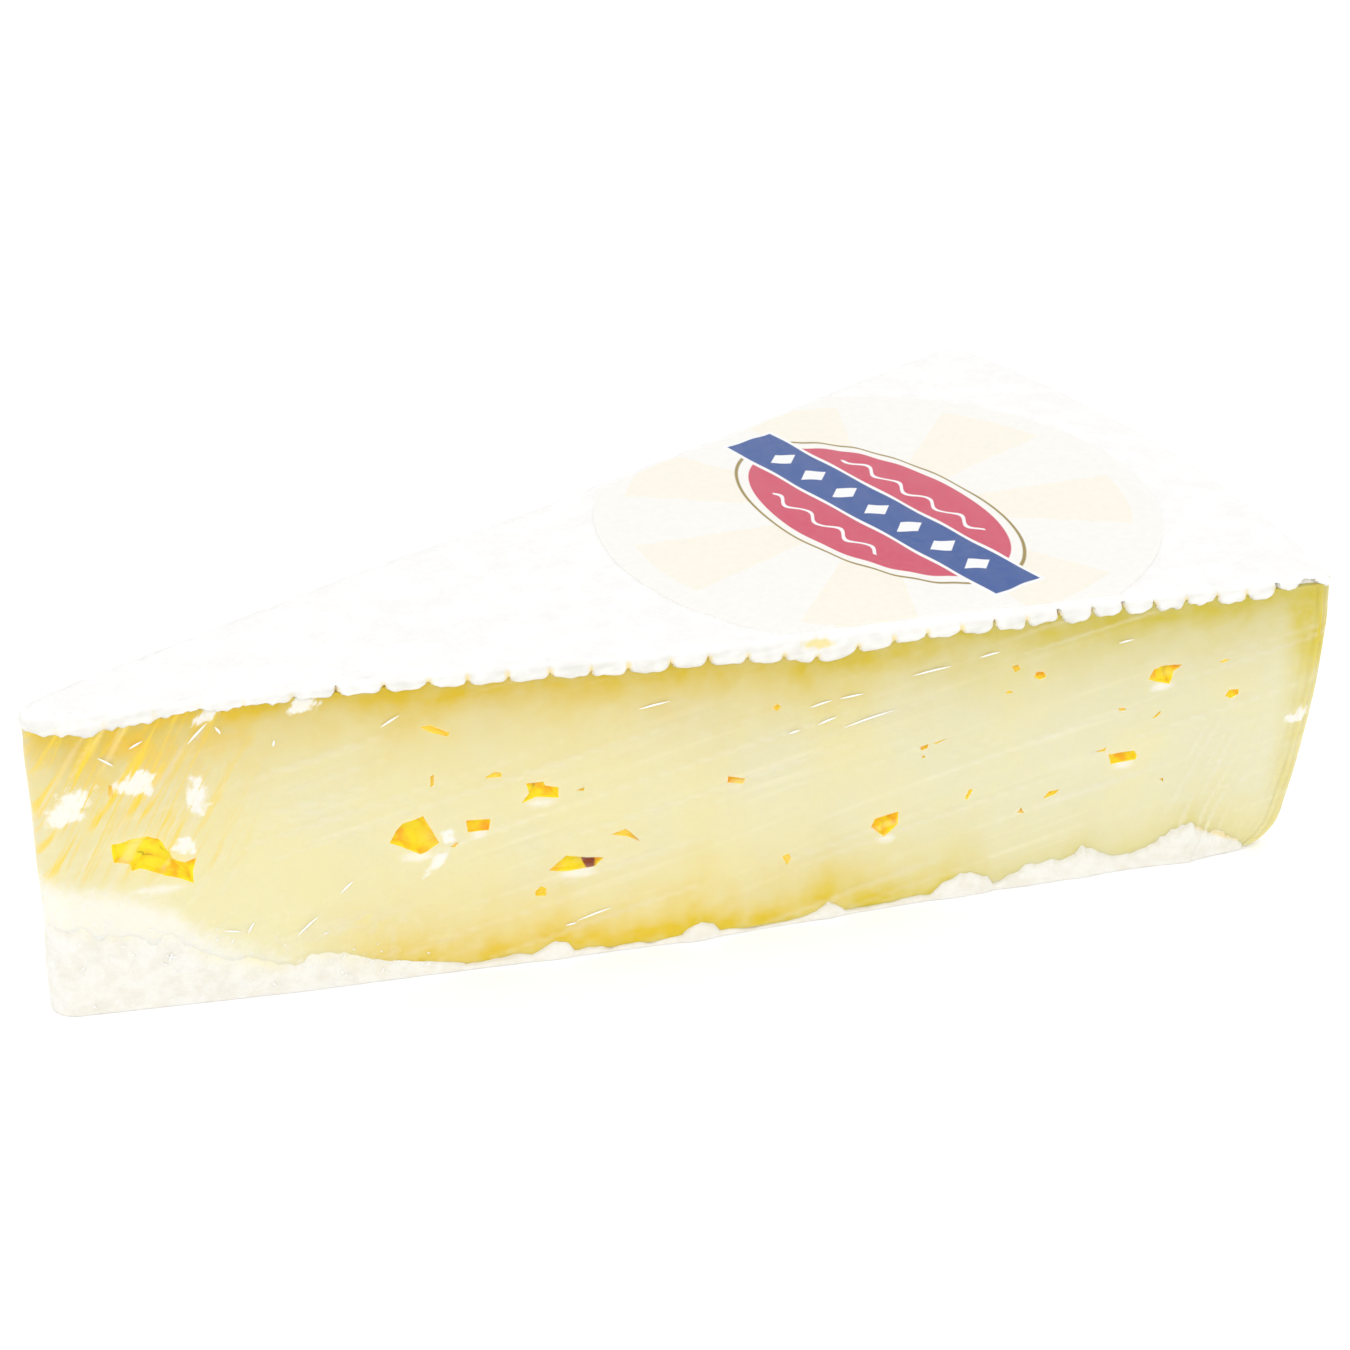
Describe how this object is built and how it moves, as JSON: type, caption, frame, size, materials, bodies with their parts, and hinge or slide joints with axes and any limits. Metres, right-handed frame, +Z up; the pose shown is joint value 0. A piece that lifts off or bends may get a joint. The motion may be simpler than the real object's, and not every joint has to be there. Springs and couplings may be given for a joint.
{
  "type": "brie wedge",
  "caption": "Wedge of soft white-rind cheese in tight clear cling film with a round paper sticker on top, lying flat on its lower rind.",
  "frame": {"origin": "bottom centre of the wedge's bounding box, on the flat lower rind", "axes": "+X from the tip to the heel, +Z up, -Y towards the front cut face"},
  "size_m": [0.1488, 0.0786, 0.0376],
  "materials": {
    "cheese_in_film": "gloss",
    "sticker": "satin"
  },
  "bodies": {
    "root": {"brie_wedge": "cheese_in_film", "label": "sticker"}
  },
  "joints": []
}
